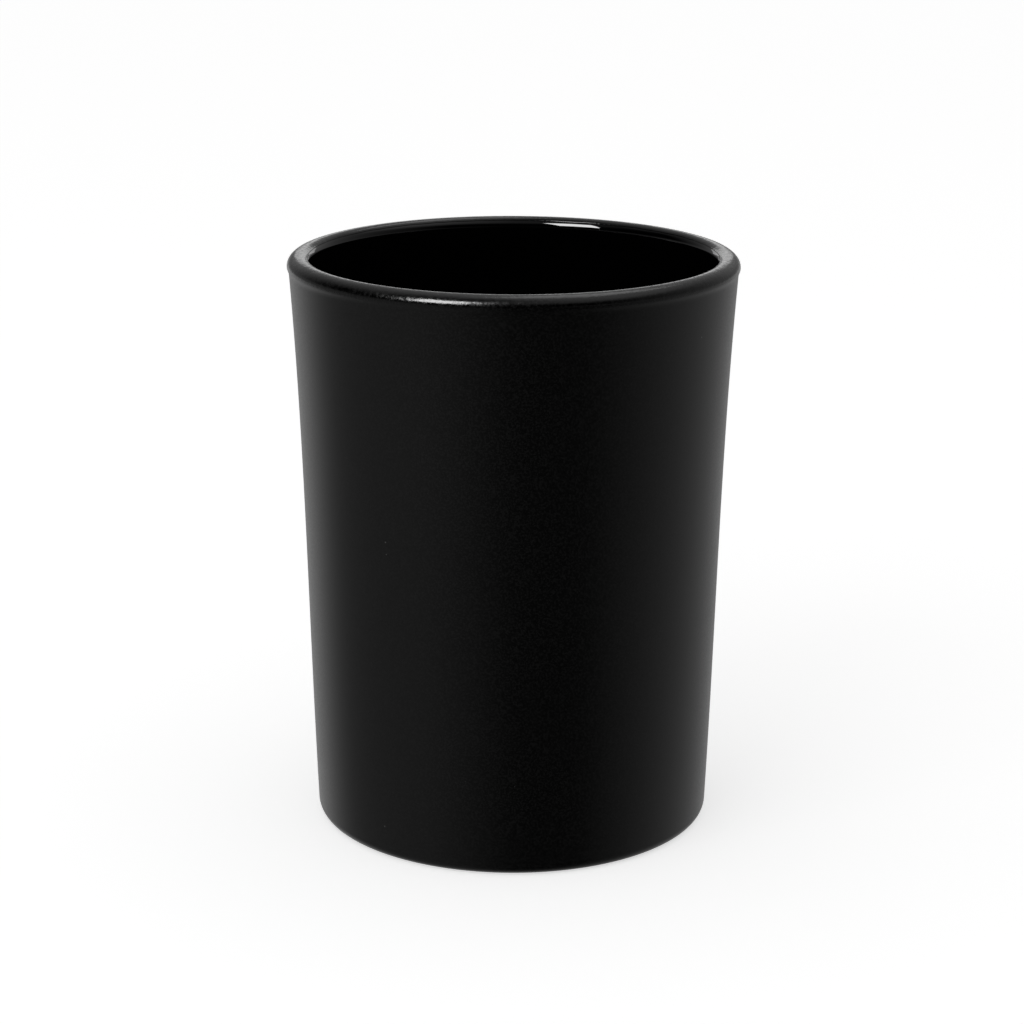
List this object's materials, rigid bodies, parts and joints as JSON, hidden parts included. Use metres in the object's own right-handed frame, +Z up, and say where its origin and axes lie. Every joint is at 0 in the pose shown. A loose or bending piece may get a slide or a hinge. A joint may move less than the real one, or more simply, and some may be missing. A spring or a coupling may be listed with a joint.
{
  "type": "empty candle jar",
  "caption": "Empty black candle jar: a slightly flared glass tumbler with a thick floor, a rounded rim and a matt film on its outside.",
  "frame": {"origin": "on the jar's axis, in the plane that the stand ring rests on", "axes": "+Z up along the jar's axis, out of the mouth; the jar is round, so X and Y are alike"},
  "size_m": [0.08, 0.08, 0.1035],
  "materials": {
    "glass": "gloss black, fire polished",
    "matt_film": "sprayed, fine matt, satin on the rim",
    "base_film": "sprayed, fine matt"
  },
  "bodies": {
    "root": {"glass_jar": "glass", "outer_film": "matt_film", "base_film": "base_film"}
  },
  "joints": []
}
